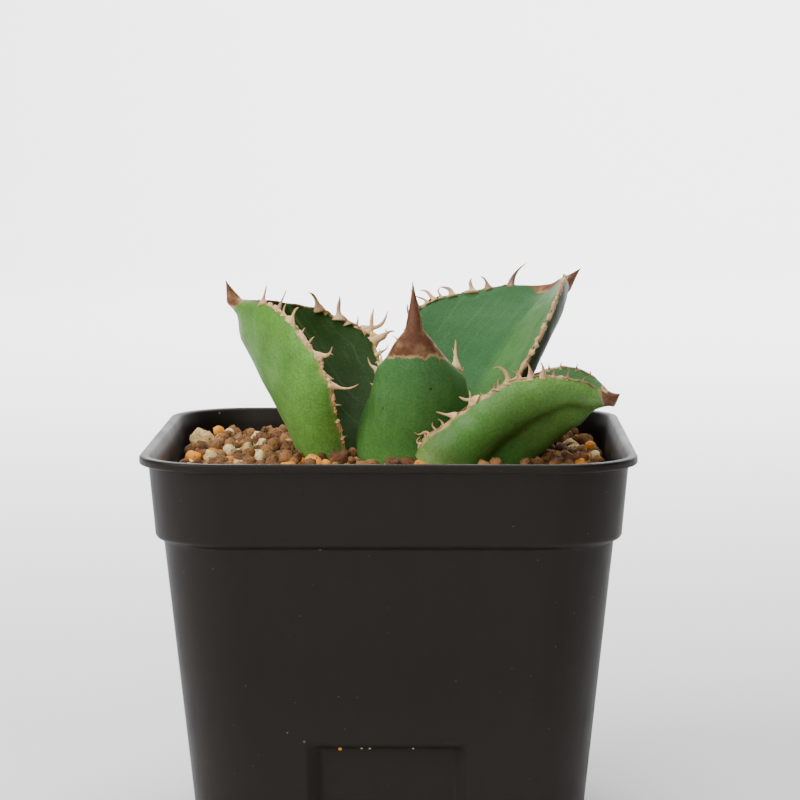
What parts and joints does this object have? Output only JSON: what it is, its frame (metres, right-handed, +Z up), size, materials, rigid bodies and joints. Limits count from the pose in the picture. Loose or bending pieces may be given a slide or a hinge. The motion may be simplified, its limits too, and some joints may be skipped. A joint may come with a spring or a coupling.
{
  "type": "potted agave",
  "caption": "Young agave rosette with toothed, spine-tipped channelled leaves, in a square tapered nursery pot topped with mineral grit.",
  "frame": {"origin": "centre of the pot's underside, on the surface that it stands on", "axes": "+Z up, -Y towards the front, +X to the front view's right"},
  "size_m": [0.09, 0.09, 0.108],
  "materials": {
    "pot_plastic": "satin black moulded plastic",
    "soil": "fine brown grit, matte",
    "akadama": "baked clay granule, matte",
    "pumice": "pale pumice, matte and pitted",
    "kanuma": "ochre kanuma granule, matte",
    "leaf_skin": "waxy green leaf skin, satin",
    "leaf_horn": "woody tan to brown horn of margins, teeth and spines",
    "stem_flesh": "pale green stem, matte"
  },
  "bodies": {
    "root": {"akadama_grain_05": "akadama", "akadama_grain_06": "akadama", "akadama_grain_07": "akadama", "akadama_grain_10": "akadama", "akadama_grain_11": "akadama", "akadama_grain_12": "akadama", "akadama_grain_13": "akadama", "akadama_grain_15": "akadama", "akadama_grain_17": "akadama", "akadama_grain_18": "akadama", "akadama_grain_19": "akadama", "akadama_grain_20": "akadama", "akadama_grain_21": "akadama", "akadama_grain_23": "akadama", "akadama_grain_25": "akadama", "akadama_grain_26": "akadama", "akadama_grain_28": "akadama", "akadama_grain_29": "akadama", "akadama_grain_30": "akadama", "akadama_grain_32": "akadama", "akadama_grain_34": "akadama", "bud": "leaf_skin", "kanuma_grain_04": "kanuma", "kanuma_grain_08": "kanuma", "kanuma_grain_09": "kanuma", "kanuma_grain_14": "kanuma", "kanuma_grain_16": "kanuma", "kanuma_grain_24": "kanuma", "kanuma_grain_33": "kanuma", "leaf_back": "leaf_skin", "leaf_front": "leaf_skin", "leaf_left": "leaf_skin", "leaf_low_right": "leaf_skin", "leaf_right": "leaf_skin", "pot": "pot_plastic", "pumice_grain_01": "pumice", "pumice_grain_02": "pumice", "pumice_grain_03": "pumice", "pumice_grain_22": "pumice", "pumice_grain_27": "pumice", "pumice_grain_31": "pumice", "soil_bed": "soil", "stem": "stem_flesh"}
  },
  "joints": []
}
